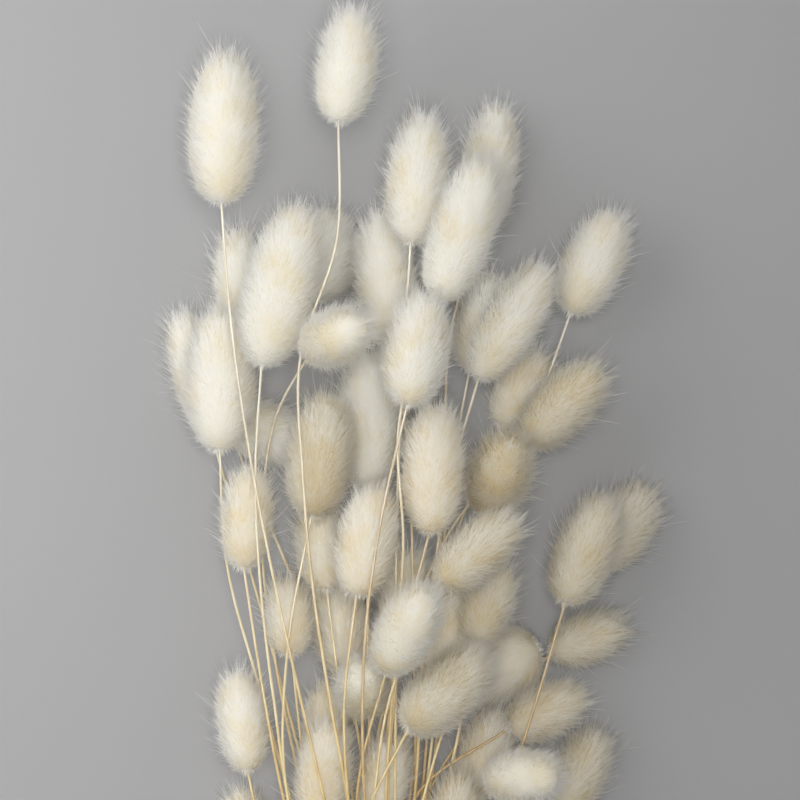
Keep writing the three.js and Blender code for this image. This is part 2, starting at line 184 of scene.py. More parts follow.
# ---------------------------------------------------------------------------------------------
# Camera, light and floor
# ---------------------------------------------------------------------------------------------
VIEW_WIDTH = 0.2667  # across the picture, at the height of most heads
VIEW_HEIGHT_ABOVE_TABLE = 0.04
VIEW_RIGHT_OF_NECK = 0.0083  # the middle of the picture, from the neck
VIEW_BEYOND_NECK = 0.2333
CAMERA_DISTANCE = 3.0
CAMERA_REACH = 20.0
SENSOR_WIDTH = 36.0
LIGHT_COLOUR = (1.0, 0.995, 0.985)
FLOOR_HALF_WIDTH = 6.0
FLOOR_COLOURS = [(0.3, (0.315, 0.315, 0.32)), (0.7, (0.335, 0.335, 0.34))]


def add_camera():
    """The camera, above the bunch. As it isn't turned, it looks straight down."""
    data = bpy.data.cameras.new("camera")
    data.sensor_width = SENSOR_WIDTH
    data.lens = SENSOR_WIDTH * CAMERA_DISTANCE / VIEW_WIDTH
    data.clip_end = CAMERA_REACH
    camera = bpy.data.objects.new("camera", data)
    camera.location = (
        NECK[0] + VIEW_RIGHT_OF_NECK,
        NECK[1] + VIEW_BEYOND_NECK,
        VIEW_HEIGHT_ABOVE_TABLE + CAMERA_DISTANCE,
    )
    bpy.context.scene.collection.objects.link(camera)
    bpy.context.scene.camera = camera


def add_area_light(name, power, size, place, aim, spread):
    """A square light at place that shines towards aim, over an angle of spread degrees."""
    data = bpy.data.lights.new(name, "AREA")
    data.energy = power
    data.size = size
    data.spread = math.radians(spread)
    data.color = LIGHT_COLOUR
    light = bpy.data.objects.new(name, data)
    light.location = place
    light.rotation_mode = "QUATERNION"
    light.rotation_quaternion = (Vector(aim) - Vector(place)).to_track_quat("-Z", "Y")
    bpy.context.scene.collection.objects.link(light)


def add_world(colour, strength):
    world = bpy.data.worlds.new("world")
    world.use_nodes = True
    background = world.node_tree.nodes["Background"]
    background.inputs["Color"].default_value = (*colour, 1)
    background.inputs["Strength"].default_value = strength
    bpy.context.scene.world = world


def new_material(name):
    """A material with a Principled shader, its nodes, and the function that links two sockets."""
    material = bpy.data.materials.new(name)
    material.use_nodes = True
    nodes = material.node_tree.nodes
    return material, nodes, material.node_tree.links.new


def noise(nodes, link, scale, detail=3.0, stretch=(1, 1, 1)):
    """Noise in the object's own space, drawn out along an axis where stretch is under 1."""
    place = nodes.new("ShaderNodeTexCoord")
    mapping = nodes.new("ShaderNodeMapping")
    mapping.inputs["Scale"].default_value = stretch
    texture = nodes.new("ShaderNodeTexNoise")
    texture.inputs["Scale"].default_value = scale
    texture.inputs["Detail"].default_value = detail
    link(place.outputs["Object"], mapping.inputs["Vector"])
    link(mapping.outputs["Vector"], texture.inputs["Vector"])
    return texture.outputs["Fac"]


def ramp(nodes, link, value, stops):
    """A colour ramp over value, with (place, colour) stops."""
    made = nodes.new("ShaderNodeValToRGB")
    elements = made.color_ramp.elements
    while len(elements) < len(stops):
        elements.new(0.5)
    for element, (place, colour) in zip(elements, stops):
        element.position = place
        element.color = (*colour, 1)
    link(value, made.inputs["Fac"])
    return made.outputs["Color"]


def floor_material():
    material, nodes, link = new_material("floor")
    shader = nodes["Principled BSDF"]
    mottle = noise(nodes, link, scale=3.0)
    link(ramp(nodes, link, mottle, FLOOR_COLOURS), shader.inputs["Base Color"])
    shader.inputs["Roughness"].default_value = 0.9
    shader.inputs["Specular IOR Level"].default_value = 0.2
    return material


def add_floor():
    half = FLOOR_HALF_WIDTH
    corners = [(-half, -half, 0), (half, -half, 0), (half, half, 0), (-half, half, 0)]
    mesh = bpy.data.meshes.new("floor")
    mesh.from_pydata(corners, [], [(0, 1, 2, 3)])
    mesh.materials.append(floor_material())
    floor = bpy.data.objects.new("floor", mesh)
    bpy.context.scene.collection.objects.link(floor)


add_camera()
add_area_light("key", power=4.2, size=0.8, place=(-0.62, 0.36, 0.7), aim=(0, 0, 0), spread=180)
# A soft beam, aimed far to the left, that falls off over the bunch
add_area_light("front", power=7.9, size=1.0, place=(-0.22, 0.15, 3.6), aim=(-0.75, 0.25, 0), spread=40)
add_world(colour=(0.98, 0.985, 1.0), strength=0.36)
add_floor()

# ---------------------------------------------------------------------------------------------
# Flower heads
# ---------------------------------------------------------------------------------------------
TABLE_CLEARANCE = 0.0002
FLUFF_ON_STEM = 0.0018
FOOT_TAPER = 0.36
FOOT_TAPER_SHARE = 0.05  # of the head's length, over which its foot narrows
PROFILE_SHIFT = 0.87  # an exponent: below 1, the head is widest on the foot's side of its middle
PROFILE_FULLNESS = 2.3  # an exponent: the higher, the fuller the head's sides
PROFILE_TAPER = 0.52  # an exponent: the lower, the blunter its ends
OUTLINE_POINTS = 400
SLOPE_SPAN = 0.03  # of the outline, on either side of the place where its slope is taken
GOLDEN_ANGLE = math.pi * (3 - math.sqrt(5))
ANGLE_SCATTER = 0.3
STEEP_AXIS = 0.8  # the Z share from which an axis is crossed with X in place of Z

# The outer faces of the core and of the undercoat, as shares of the outline's radius
CORE_DEPTH = 0.82
FUR_DEPTH = 0.905


def profile(t):
    """A head's radius at the share t of its length, as a share of its largest radius."""
    t = np.clip(t, 0, 1)
    from_widest = np.abs(2 * t ** PROFILE_SHIFT - 1)
    return np.clip(1 - from_widest ** PROFILE_FULLNESS, 0, 1) ** PROFILE_TAPER


def side_axes(axis):
    """Two axes square to a head's own and to each other."""
    helper = np.array([0.0, 0.0, 1.0]) if abs(axis[2]) < STEEP_AXIS else np.array([1.0, 0.0, 0.0])
    u = np.cross(helper, axis)
    u /= np.linalg.norm(u)
    return u, np.cross(axis, u)


def normalised(vectors):
    return vectors / np.maximum(np.linalg.norm(vectors, axis=-1, keepdims=True), 1e-12)


class Outline:
    """A head's outline as a curve from its foot to its crown, turned about the head's axis.

    A place on it is an arc length s from the foot and an angle round the axis. At each s the curve
    has a share t of the head's length and a radius r.
    """

    def __init__(self, head):
        cad_foot, self.axis, cad_length, self.radius = head
        # The fluff runs a little way down the stem, and narrows there
        self.foot = cad_foot - self.axis * FLUFF_ON_STEM
        self.length = cad_length + FLUFF_ON_STEM
        self.u, self.v = side_axes(self.axis)
        t = 0.5 - 0.5 * np.cos(np.linspace(0, math.pi, OUTLINE_POINTS))
        self.t = t
        self.r = self.radius * profile(t) * (1 - FOOT_TAPER * np.exp(-t / FOOT_TAPER_SHARE))
        step = np.hypot(np.diff(t) * self.length, np.diff(self.r))
        self.s = np.concatenate([[0], np.cumsum(step)])
        area = np.concatenate([[0], np.cumsum(step * (self.r[1:] + self.r[:-1]) / 2)])
        self.area_share = area / area[-1]
        self.area = 2 * math.pi * area[-1]
        self.end = self.s[-1]

    def at(self, s, angle, depth):
        """Points on the outline shrunk by depth towards the head's middle line."""
        along = np.interp(s, self.s, self.t) * self.length
        out = np.interp(s, self.s, self.r) * depth
        keep_in = (1 - depth) * 0.5 * self.radius
        along = np.clip(along, keep_in, self.length - keep_in)
        around = self.around(angle)
        return self.foot + along[:, None] * self.axis + out[:, None] * around

    def around(self, angle):
        """The way out from the head's axis at each angle."""
        return np.cos(angle)[:, None] * self.u + np.sin(angle)[:, None] * self.v

    def directions(self, s, angle):
        """The outward normal and the way along the outline towards the crown."""
        step = SLOPE_SPAN * self.end
        low, high = np.clip(s - step, 0, self.end), np.clip(s + step, 0, self.end)
        rise = (np.interp(high, self.s, self.t) - np.interp(low, self.s, self.t)) * self.length
        widen = np.interp(high, self.s, self.r) - np.interp(low, self.s, self.r)
        size = np.hypot(rise, widen)
        rise, widen = (rise / size)[:, None], (widen / size)[:, None]
        around = self.around(angle)
        outward = normalised(around * rise - self.axis * widen)
        return outward, normalised(self.axis * rise + around * widen)

    def spread(self, count, random, first=0.0, last=1.0):
        """Places spread evenly over the head: lengths along the outline, and angles."""
        share = first + (last - first) * (np.arange(count) + random.uniform(0, 1, count)) / count
        s = np.interp(share, self.area_share, self.s)
        return s, np.arange(count) * GOLDEN_ANGLE + random.normal(0, ANGLE_SCATTER, count)


RIPPLE_WAVES = 7
RIPPLE_PEAK = 3  # most of the sum of the waves lies under this
RIPPLE_LENGTHS = (0.7, 1.5)  # the shortest and longest wave, as shares of the wavelength


def ripple(points, random, wavelength):
    """A smooth random wave over points, from about -1 to 1."""
    total = np.zeros(len(points))
    for _ in range(RIPPLE_WAVES):
        onward = normalised(random.normal(0, 1, 3))
        wave = onward * 2 * math.pi / (wavelength * random.uniform(*RIPPLE_LENGTHS))
        total += np.sin(points @ wave + random.uniform(0, 2 * math.pi))
    return total / RIPPLE_PEAK


class Strands:
    """Corners, faces and shading normals of many thin blades, and for each corner a place, from 0 at
    the core to 1 at the palest tips, which chooses its colour."""

    def __init__(self):
        self.corners = []
        self.faces = []
        self.normals = []
        self.places = []
        self.count = 0

    def add(self, lines, half_widths, sideways, normals, along):
        """Blades through lines, an array of blades by points by 3. Each ends in one point."""
        blades, points, _ = lines.shape
        left = lines[:, :-1] - sideways[:, None] * half_widths[None, :-1, None]
        right = lines[:, :-1] + sideways[:, None] * half_widths[None, :-1, None]
        block = np.concatenate([left, right, lines[:, -1:]], axis=1)
        size = block.shape[1]
        start = self.count + np.arange(blades)[:, None] * size
        span = points - 1
        faces = []
        for k in range(span - 1):
            faces.append(start + np.array([[k, span + k, span + k + 1]]))
            faces.append(start + np.array([[k, span + k + 1, k + 1]]))
        faces.append(start + np.array([[span - 1, 2 * span - 1, 2 * span]]))
        self.corners.append(block.reshape(-1, 3))
        self.faces.append(np.concatenate(faces))
        self.normals.append(np.repeat(normals, size, axis=0))
        stack = np.concatenate([along[:-1], along[:-1], along[-1:]])
        self.places.append(np.tile(stack, blades))
        self.count += blades * size

    def add_kites(self, lines, half_width, sideways, normals, along):
        """Blades of two triangles through root, middle and tip, widest at the middle."""
        blades = len(lines)
        left = lines[:, 1] - sideways * half_width
        right = lines[:, 1] + sideways * half_width
        block = np.stack([lines[:, 0], left, right, lines[:, 2]], axis=1)
        start = self.count + np.arange(blades)[:, None] * 4
        lower, upper = start + np.array([[0, 2, 1]]), start + np.array([[1, 2, 3]])
        self.corners.append(block.reshape(-1, 3))
        self.faces.append(np.concatenate([lower, upper]))
        self.normals.append(np.repeat(normals, 4, axis=0))
        self.places.append(np.tile(along[[0, 1, 1, 2]], blades))
        self.count += blades * 4


def blade_sideways(along, outward, random, turn):
    """Each blade's crosswise direction: its flat side faces outwards, turned at random by about
    turn radians."""
    along = normalised(along)
    flat = normalised(np.cross(along, outward) + 1e-9)
    angle = random.normal(0, turn, len(along))[:, None]
    sideways = flat * np.cos(angle) + np.cross(along, flat) * np.sin(angle)
    # The blade's front has to look outwards, as its shading normal does
    front = np.einsum("ij,ij->i", np.cross(sideways, along), outward)
    return sideways * np.where(front < 0, -1.0, 1.0)[:, None]


def facing(sideways, along):
    """The way that the front of each blade faces."""
    return normalised(np.cross(sideways, along))


def leaning(outline, angle, lean):
    """The way that leans by lean radians from the head's axis, at each angle round it."""
    return outline.axis * np.cos(lean)[:, None] + outline.around(angle) * np.sin(lean)[:, None]


# In every coat, a run is how far a hair's root lies behind its tip along the outline, and a turn is
# how far the hair's flat side may face away from outwards, in radians. A least share limits the run:
# a root's s is at least that share of its tip's. Places choose the colours of a hair's points, from
# its root to its tip
FUR_PER_SQUARE_METRE = 3.9e6
FUR_HALF_WIDTH = 0.00008
FUR_LUMP, FUR_LUMP_LENGTH = 0.025, 0.006  # its height, of the head's radius, and its wavelength
FUR_SWIRL, FUR_SWIRL_LENGTH = 0.0006, 0.008  # how far tips go sideways, and the wavelength
FUR_RAGGED = 0.055  # of the head's radius
FUR_RUN = (0.0008, 0.0027)
FUR_LEAST_SHARE = 0.25
FUR_ROOT_DEPTH = CORE_DEPTH - 0.03
FUR_ROOT_SCATTER = 0.0008
FUR_TURN = 0.8
# What the shading normal has beside the outline's normal, whose weight is 1
FUR_AROUND_WEIGHT, FUR_TILT_WEIGHT, FUR_FACING_WEIGHT = 0.3, 0.14, 0.6
FUR_PLACES = np.array([0.2, 0.75])


def grow_fur(strands, outline, random):
    """The dense undercoat: short straight hairs that end a little inside the outline."""
    count = int(FUR_PER_SQUARE_METRE * outline.area)
    s, angle = outline.spread(count, random)
    normal, onward = outline.directions(s, angle)
    sideways = np.cross(onward, normal)
    surface = outline.at(s, angle, FUR_DEPTH)
    lump = ripple(surface, random, FUR_LUMP_LENGTH)
    swirl = ripple(surface, random, FUR_SWIRL_LENGTH)
    reach = outline.radius * (FUR_LUMP * lump + random.normal(0, FUR_RAGGED, count))
    tip = surface + normal * reach[:, None] + sideways * (FUR_SWIRL * swirl)[:, None]
    run = random.uniform(*FUR_RUN, count)
    root = outline.at(np.maximum(s - run, FUR_LEAST_SHARE * s), angle, FUR_ROOT_DEPTH)
    root = root + sideways * random.normal(0, FUR_ROOT_SCATTER, count)[:, None]
    across = blade_sideways(tip - root, normal, random, FUR_TURN)
    tilt = np.stack([ripple(surface, random, FUR_LUMP_LENGTH) for _ in range(3)], axis=1)
    smooth = normalised(
        normal
        + FUR_AROUND_WEIGHT * outline.around(angle)
        + FUR_TILT_WEIGHT * tilt
        + FUR_FACING_WEIGHT * facing(across, tip - root)
    )
    lines = np.stack([root, tip], axis=1)
    strands.add(lines, np.array([FUR_HALF_WIDTH, 0.0]), across, smooth, FUR_PLACES)


# How loose hairs lean from the head's axis, in degrees: at its foot, how much less at its crown,
# and how far they scatter
LOOSE_LEAN, LOOSE_LEAN_LOST, LOOSE_LEAN_SCATTER = 120, 104, 11


def loose_way(outline, s, angle, random):
    """How loose hairs stand: outwards and back at the head's foot, and along its axis at the crown."""
    normal, _ = outline.directions(s, angle)
    upper = np.clip(s / outline.end, 0, 1)
    lean = LOOSE_LEAN - LOOSE_LEAN_LOST * upper ** 0.5 + random.normal(0, LOOSE_LEAN_SCATTER, len(s))
    return normal, leaning(outline, angle, np.radians(lean)), upper


HALO_PER_SQUARE_METRE = 2.9e6
HALO_HALF_WIDTH = 0.00007
HALO_LENGTH, HALO_LENGTH_GAINED = 0.0012, 0.0018  # at the foot, and how much more at the crown
HALO_LENGTH_SHAPE, HALO_LENGTH_SCALE = 1.6, 0.75  # of the gamma draw that multiplies the length
LONGEST_HALO_SHARE = 3.2  # the most that the draw may be
HALO_RUN = 0.0008
HALO_LEAST_SHARE = 0.2
HALO_ROOT_DEPTH = CORE_DEPTH + 0.03
HALO_TURN = 1.0
HALO_PLACES = np.array([0.5, 1.0])


def grow_halo(strands, outline, random):
    """Single loose hairs, which blur the outline."""
    count = int(HALO_PER_SQUARE_METRE * outline.area)
    s, angle = outline.spread(count, random)
    normal, way, upper = loose_way(outline, s, angle, random)
    share = np.minimum(random.gamma(HALO_LENGTH_SHAPE, HALO_LENGTH_SCALE, count), LONGEST_HALO_SHARE)
    length = (HALO_LENGTH + HALO_LENGTH_GAINED * upper) * share
    tip = outline.at(s, angle, FUR_DEPTH) + way * length[:, None]
    root = outline.at(np.maximum(s - HALO_RUN, HALO_LEAST_SHARE * s), angle, HALO_ROOT_DEPTH)
    across = blade_sideways(tip - root, normal, random, HALO_TURN)
    smooth = normalised(normal + facing(across, tip - root))
    lines = np.stack([root, tip], axis=1)
    strands.add(lines, np.array([HALO_HALF_WIDTH, 0.0]), across, smooth, HALO_PLACES)


WISPS_PER_SQUARE_METRE = 0.17e6
HAIRS_PER_WISP = 13
WISP_HALF_WIDTH = 0.000085
WISP_LENGTH, WISP_LENGTH_GAINED, WISP_GAIN_POWER = 0.0011, 0.0036, 1.5
WISP_LENGTH_SHARES = (0.1, 1.7)
WISP_RUN, WISP_RUN_SCATTER = 0.0012, 0.0009
WISP_LOWEST_ROOT = 0.01  # of the outline
WISP_ROOT_SCATTER = 0.0009
WISP_LEAST_RADIUS = 0.002  # taken near a head's ends, so that roots don't scatter far round it
WISP_TIP_SCATTER = 0.00035
WISP_TURN = 0.9
WISP_PLACES = np.array([0.3, 1.0])


def grow_wisps(strands, outline, random):
    """The loose outer coat: straight hairs that gather in small points past the undercoat."""
    wisps = int(WISPS_PER_SQUARE_METRE * outline.area)
    wisp_s, wisp_angle = outline.spread(wisps, random)
    normal, way, upper = loose_way(outline, wisp_s, wisp_angle, random)
    length = WISP_LENGTH + WISP_LENGTH_GAINED * upper ** WISP_GAIN_POWER
    length = length * random.uniform(*WISP_LENGTH_SHARES, wisps)
    point = outline.at(wisp_s, wisp_angle, FUR_DEPTH) + way * length[:, None]
    owner = np.repeat(np.arange(wisps), HAIRS_PER_WISP)
    count = len(owner)
    s = wisp_s[owner] + random.normal(-WISP_RUN, WISP_RUN_SCATTER, count)
    s = np.clip(s, WISP_LOWEST_ROOT * outline.end, outline.end)
    radius = np.maximum(np.interp(wisp_s, outline.s, outline.r), WISP_LEAST_RADIUS)[owner]
    angle = wisp_angle[owner] + random.normal(0, WISP_ROOT_SCATTER, count) / radius
    root = outline.at(s, angle, CORE_DEPTH)
    tip = point[owner] + random.normal(0, WISP_TIP_SCATTER, (count, 3))
    across = blade_sideways(tip - root, normal[owner], random, WISP_TURN)
    smooth = normalised(normal[owner] + facing(across, tip - root))
    lines = np.stack([root, tip], axis=1)
    strands.add(lines, np.array([WISP_HALF_WIDTH, 0.0]), across, smooth, WISP_PLACES)


SCRUFF_HAIRS = 420
SCRUFF_SHARE = 0.17  # of the outline, from its foot
SCRUFF_CROWDING = 0.7  # an exponent: below 1, fewer hairs stand close to the stem
SCRUFF_ROOT_DEPTH = CORE_DEPTH - 0.1
SCRUFF_RIM = 0.6  # of the head's radius, from the foot
SCRUFF_FLARE, SCRUFF_CLOSE = 1.3, 0.25  # how far hairs at the rim stand away, and what all lose of it
SCRUFF_WAY_SCATTER = 0.25
SCRUFF_LENGTH_SHARES = (0.0004, 1.0)
SCRUFF_LENGTH, SCRUFF_LENGTH_LOST = 0.0034, 0.0012  # at the stem, and how much less at the rim
SCRUFF_MOST_OUT = 1.5  # of the rim's distance, past which hairs are no shorter
SCRUFF_BOW = 0.0002
SCRUFF_BACK = 0.35  # how far the shading normals turn back along the stem
SCRUFF_TURN = 0.8
SCRUFF_PLACES = np.array([0.4, 0.8, 1.0])


def grow_scruff(strands, outline, random):
    """The short ragged hairs round the foot, which hide where the stem goes in."""
    share = random.uniform(0.0, 1.0, SCRUFF_HAIRS) ** SCRUFF_CROWDING
    s = share * SCRUFF_SHARE * outline.end
    angle = random.uniform(0, 2 * math.pi, SCRUFF_HAIRS)
    around = outline.around(angle)
    root = outline.at(s, angle, SCRUFF_ROOT_DEPTH)
    out = np.linalg.norm(root - outline.foot, axis=1) / (SCRUFF_RIM * outline.radius)
    # Inner hairs run down the stem and outer ones stand away from it
    way = around * (SCRUFF_FLARE * out - SCRUFF_CLOSE)[:, None] - outline.axis
    way = normalised(way + random.normal(0, SCRUFF_WAY_SCATTER, (SCRUFF_HAIRS, 3)))
    length = SCRUFF_LENGTH - SCRUFF_LENGTH_LOST * np.clip(out, 0, SCRUFF_MOST_OUT)
    length = random.uniform(*SCRUFF_LENGTH_SHARES, SCRUFF_HAIRS) * length
    tip = outline.at(s, angle, FUR_DEPTH) + way * length[:, None]
    middle = 0.5 * (root + tip) + around * SCRUFF_BOW
    outward = normalised(around - SCRUFF_BACK * outline.axis)
    across = blade_sideways(tip - middle, outward, random, SCRUFF_TURN)
    smooth = normalised(outward + facing(across, tip - middle))
    lines = np.stack([root, middle, tip], axis=1)
    strands.add_kites(lines, WISP_HALF_WIDTH, across, smooth, SCRUFF_PLACES)


AWNS_PER_HEAD = 70
LOWEST_AWN = 0.15  # the share of the head's surface below the awns
AWN_ROOT_DEPTH = 0.8
AWN_LEAN, AWN_LEAN_LOST, AWN_LEAN_SCATTER = 74, 56, 13  # degrees, as for the loose hairs
AWN_LENGTH = (0.003, 0.0115)  # past the coat
AWN_IN_COAT = 0.2  # of the head's radius
AWN_BEND = 0.0014  # at the tip, to one side
AWN_POINTS = ((0, 0), (0.4, 0), (0.72, 0.35), (1, 1))  # shares of its length and of its bend
AWN_HALF_WIDTHS = 0.00008 * np.array([1.0, 0.85, 0.55, 0.0])
AWN_TURN = 1.5
AWN_PLACES = np.array([0.6, 0.8, 1.0, 1.0])
HIGHEST_AWN_ABOVE_CAD = 0.006
LEAST_RISE = 1e-3  # so that an awn that lies level or falls keeps its length


def grow_awns(strands, outline, random):
    """The long, sparse awns that stand out of the coat, everywhere but round the foot."""
    s, angle = outline.spread(AWNS_PER_HEAD, random, LOWEST_AWN, 1.0)
    normal, _ = outline.directions(s, angle)
    start = outline.at(s, angle, AWN_ROOT_DEPTH)
    lean = AWN_LEAN - AWN_LEAN_LOST * s / outline.end
    lean = np.radians(lean + random.normal(0, AWN_LEAN_SCATTER, AWNS_PER_HEAD))
    direction = leaning(outline, angle, lean)
    reach = AWN_IN_COAT * outline.radius + random.uniform(*AWN_LENGTH, AWNS_PER_HEAD)
    bend = normalised(random.normal(0, 1, (AWNS_PER_HEAD, 3))) * AWN_BEND
    room = cad_box[1][2] + HIGHEST_AWN_ABOVE_CAD - start[:, 2]
    reach = np.minimum(reach, room / np.maximum(direction[:, 2], LEAST_RISE))
    lines = np.stack([
        start + direction * (far * reach)[:, None] + bent * bend
        for far, bent in AWN_POINTS
    ], axis=1)
    sideways = blade_sideways(direction, normal, random, AWN_TURN)
    smooth = normalised(normal + facing(sideways, direction))
    strands.add(lines, AWN_HALF_WIDTHS, sideways, smooth, AWN_PLACES)


CORE_ROWS = 12
CORE_SIDES = 16
CORE_FIRST, CORE_LAST = 0.02, 0.98  # of the outline, where the first and last rows lie
CORE_END_INSET = 0.35  # of the coat's thickness


def grow_core(strands, outline):
    """The closed body that the coat grows from."""
    s = np.linspace(CORE_FIRST, CORE_LAST, CORE_ROWS) * outline.end
    angle = np.arange(CORE_SIDES) * 2 * math.pi / CORE_SIDES
    grid_s, grid_angle = np.repeat(s, CORE_SIDES), np.tile(angle, CORE_ROWS)
    rings = outline.at(grid_s, grid_angle, CORE_DEPTH)
    smooth, _ = outline.directions(grid_s, grid_angle)
    inset = CORE_END_INSET * (1 - CORE_DEPTH) * outline.radius
    ends = np.array([outline.foot + outline.axis * far for far in (inset, outline.length - inset)])
    faces = []
    for row in range(CORE_ROWS - 1):
        for side in range(CORE_SIDES):
            a = row * CORE_SIDES + side
            b = row * CORE_SIDES + (side + 1) % CORE_SIDES
            faces += [(a, b, b + CORE_SIDES), (a, b + CORE_SIDES, a + CORE_SIDES)]
    low, high = len(rings), len(rings) + 1
    top = (CORE_ROWS - 1) * CORE_SIDES
    for side in range(CORE_SIDES):
        after = (side + 1) % CORE_SIDES
        faces += [(low, after, side), (high, top + side, top + after)]
    strands.corners.append(np.concatenate([rings, ends]))
    strands.faces.append(np.array(faces) + strands.count)
    strands.normals.append(np.concatenate([smooth, [-outline.axis, outline.axis]]))
    strands.places.append(np.zeros(len(rings) + 2))
    strands.count += len(rings) + 2


STRAND_MAP = "strand"
BAKE_MAP = "OFBake"
MAP_ALONG, MAP_FOOT = 0.8, 0.08  # of the map: the CAD head's length, and what lies below its foot
BAKE_WIDTH, BAKE_LEFT = 0.8, 0.02
BAKE_HEIGHT, BAKE_LOW = 0.48, 0.01  # in each half of the map


def unrolled(head, corners):
    """A place on a flat map for each corner: its angle round the head, and its share along it."""
    foot, axis, length, _ = head
    u, v = side_axes(axis)
    spokes = corners - foot
    around = np.arctan2(spokes @ v, spokes @ u) / (2 * math.pi) + 0.5
    along = np.clip((spokes @ axis) / length * MAP_ALONG + MAP_FOOT, 0, 1)
    return around, along


def strand_object(name, strands, head, material):
    """A head's piece: its strands as one mesh, with a map that colours it and one to bake on."""
    corners = np.concatenate(strands.corners)
    corners[:, 2] = np.maximum(corners[:, 2], TABLE_CLEARANCE)
    faces = np.concatenate(strands.faces)
    normals = np.concatenate(strands.normals)
    places = np.concatenate(strands.places)
    mesh = bpy.data.meshes.new(name)
    mesh.vertices.add(len(corners))
    mesh.vertices.foreach_set("co", corners.astype(np.float32).ravel())
    mesh.loops.add(faces.size)
    mesh.loops.foreach_set("vertex_index", faces.astype(np.int32).ravel())
    mesh.polygons.add(len(faces))
    mesh.polygons.foreach_set("loop_start", np.arange(len(faces), dtype=np.int32) * 3)
    mesh.update(calc_edges=True)
    mesh.polygons.foreach_set("use_smooth", np.ones(len(faces), bool))
    loop_corners = faces.ravel()
    around, along = unrolled(head, corners)
    # A face over the seam stays on one side of the map
    turn = around[faces]
    turn += (turn < turn.max(axis=1, keepdims=True) - 0.5)
    strand = np.stack([around[loop_corners], places[loop_corners]], axis=1)
    strand_map = mesh.uv_layers.new(name=STRAND_MAP)
    strand_map.data.foreach_set("uv", strand.astype(np.float32).ravel())
    # Pale corners, by their own place and the last one's, lie in the upper half of the bake map
    band = 0.5 * (places[loop_corners] + places[np.roll(faces, 1, axis=1).ravel()] > 1.0)
    across = turn.ravel() * BAKE_WIDTH + BAKE_LEFT
    up = along[loop_corners] * BAKE_HEIGHT + BAKE_LOW + band
    bake_map = mesh.uv_layers.new(name=BAKE_MAP)
    bake_map.data.foreach_set("uv", np.stack([across, up], axis=1).astype(np.float32).ravel())
    mesh.normals_split_custom_set_from_vertices(normals)
    mesh.materials.append(material)
    piece = bpy.data.objects.new(name, mesh)
    bpy.context.scene.collection.objects.link(piece)
    return piece


HALFWAY = 0.55  # the place whose colour lies between the roots' and the tips'
PATCH_SHADES = [(0.44, (0, 0, 0)), (0.64, (1, 1, 1))]


def fluff_material(name, full, thin, tip):
    """Fluff that lets light through, pale at its tips. Full and thin are the colours at the roots and
    halfway up, where the coat is full and in the patches where it is thin."""
    material, nodes, link = new_material(name)
    strand = nodes.new("ShaderNodeUVMap")
    strand.uv_map = STRAND_MAP
    split = nodes.new("ShaderNodeSeparateXYZ")
    link(strand.outputs["UV"], split.inputs["Vector"])
    full_coat, thin_coat = (
        ramp(nodes, link, split.outputs["Y"], [(0.0, root), (HALFWAY, middle), (1.0, tip)])
        for root, middle in (full, thin)
    )
    patches = ramp(nodes, link, noise(nodes, link, scale=85.0, detail=1.0), PATCH_SHADES)
    coat = nodes.new("ShaderNodeMix")
    coat.data_type = "RGBA"
    link(patches, coat.inputs["Factor"])
    link(full_coat, coat.inputs["A"])
    link(thin_coat, coat.inputs["B"])
    colour = coat.outputs["Result"]
    shader = nodes["Principled BSDF"]
    shader.inputs["Roughness"].default_value = 0.85
    shader.inputs["Specular IOR Level"].default_value = 0.12
    shader.inputs["Sheen Weight"].default_value = 0.25
    shader.inputs["Sheen Roughness"].default_value = 0.5
    link(colour, shader.inputs["Base Color"])
    through = nodes.new("ShaderNodeBsdfTranslucent")
    link(colour, through.inputs["Color"])
    both = nodes.new("ShaderNodeMixShader")
    both.inputs["Fac"].default_value = 0.5  # a blade then looks alike from its front and its back
    link(shader.outputs["BSDF"], both.inputs[1])
    link(through.outputs["BSDF"], both.inputs[2])
    link(both.outputs["Shader"], nodes["Material Output"].inputs["Surface"])
    return material


white_fluff = fluff_material(
    "fluff_white",
    full=((0.965, 0.94, 0.85), (0.985, 0.98, 0.955)),
    thin=((0.93, 0.87, 0.70), (0.975, 0.95, 0.88)),
    tip=(0.99, 0.99, 0.985),
)
cream_fluff = fluff_material(
    "fluff_cream",
    full=((0.95, 0.90, 0.76), (0.978, 0.96, 0.905)),
    thin=((0.91, 0.82, 0.60), (0.96, 0.915, 0.80)),
    tip=(0.985, 0.98, 0.96),
)
# Tan fluff, a little darker than the heads' own tan: in part painted shade
tan_and_shade_fluff = fluff_material(
    "fluff_tan_and_shade",
    full=((0.855, 0.79, 0.63), (0.905, 0.88, 0.80)),
    thin=((0.815, 0.72, 0.485), (0.88, 0.83, 0.69)),
    tip=(0.935, 0.92, 0.88),
)

# The bunch's most and least bleached heads. Both lists also hold painted light and shade: some deep
# heads in shade get the white fluff to lighten them, and some heads towards the right get the tan fluff
# as painted shade
WHITE_AND_PAINTED_LIGHT_HEADS = (1, 2, 3, 4, 5, 6, 7, 8, 11, 12, 13, 14, 15, 16, 17, 18, 19, 20, 34, 35, 39, 40)
TAN_AND_PAINTED_SHADE_HEADS = (10, 21, 26, 27, 28, 29, 30, 31, 32, 33, 36, 48)
HEAD_SEED = 100


def fluff_of(node):
    """The fluff of the head in a CAD node, by its number: its own tint, with painted light on some deep
    heads and painted shade on some others.
    """
    number = int(node.removeprefix("head_"))
    if number in WHITE_AND_PAINTED_LIGHT_HEADS:
        return white_fluff
    return tan_and_shade_fluff if number in TAN_AND_PAINTED_SHADE_HEADS else cream_fluff


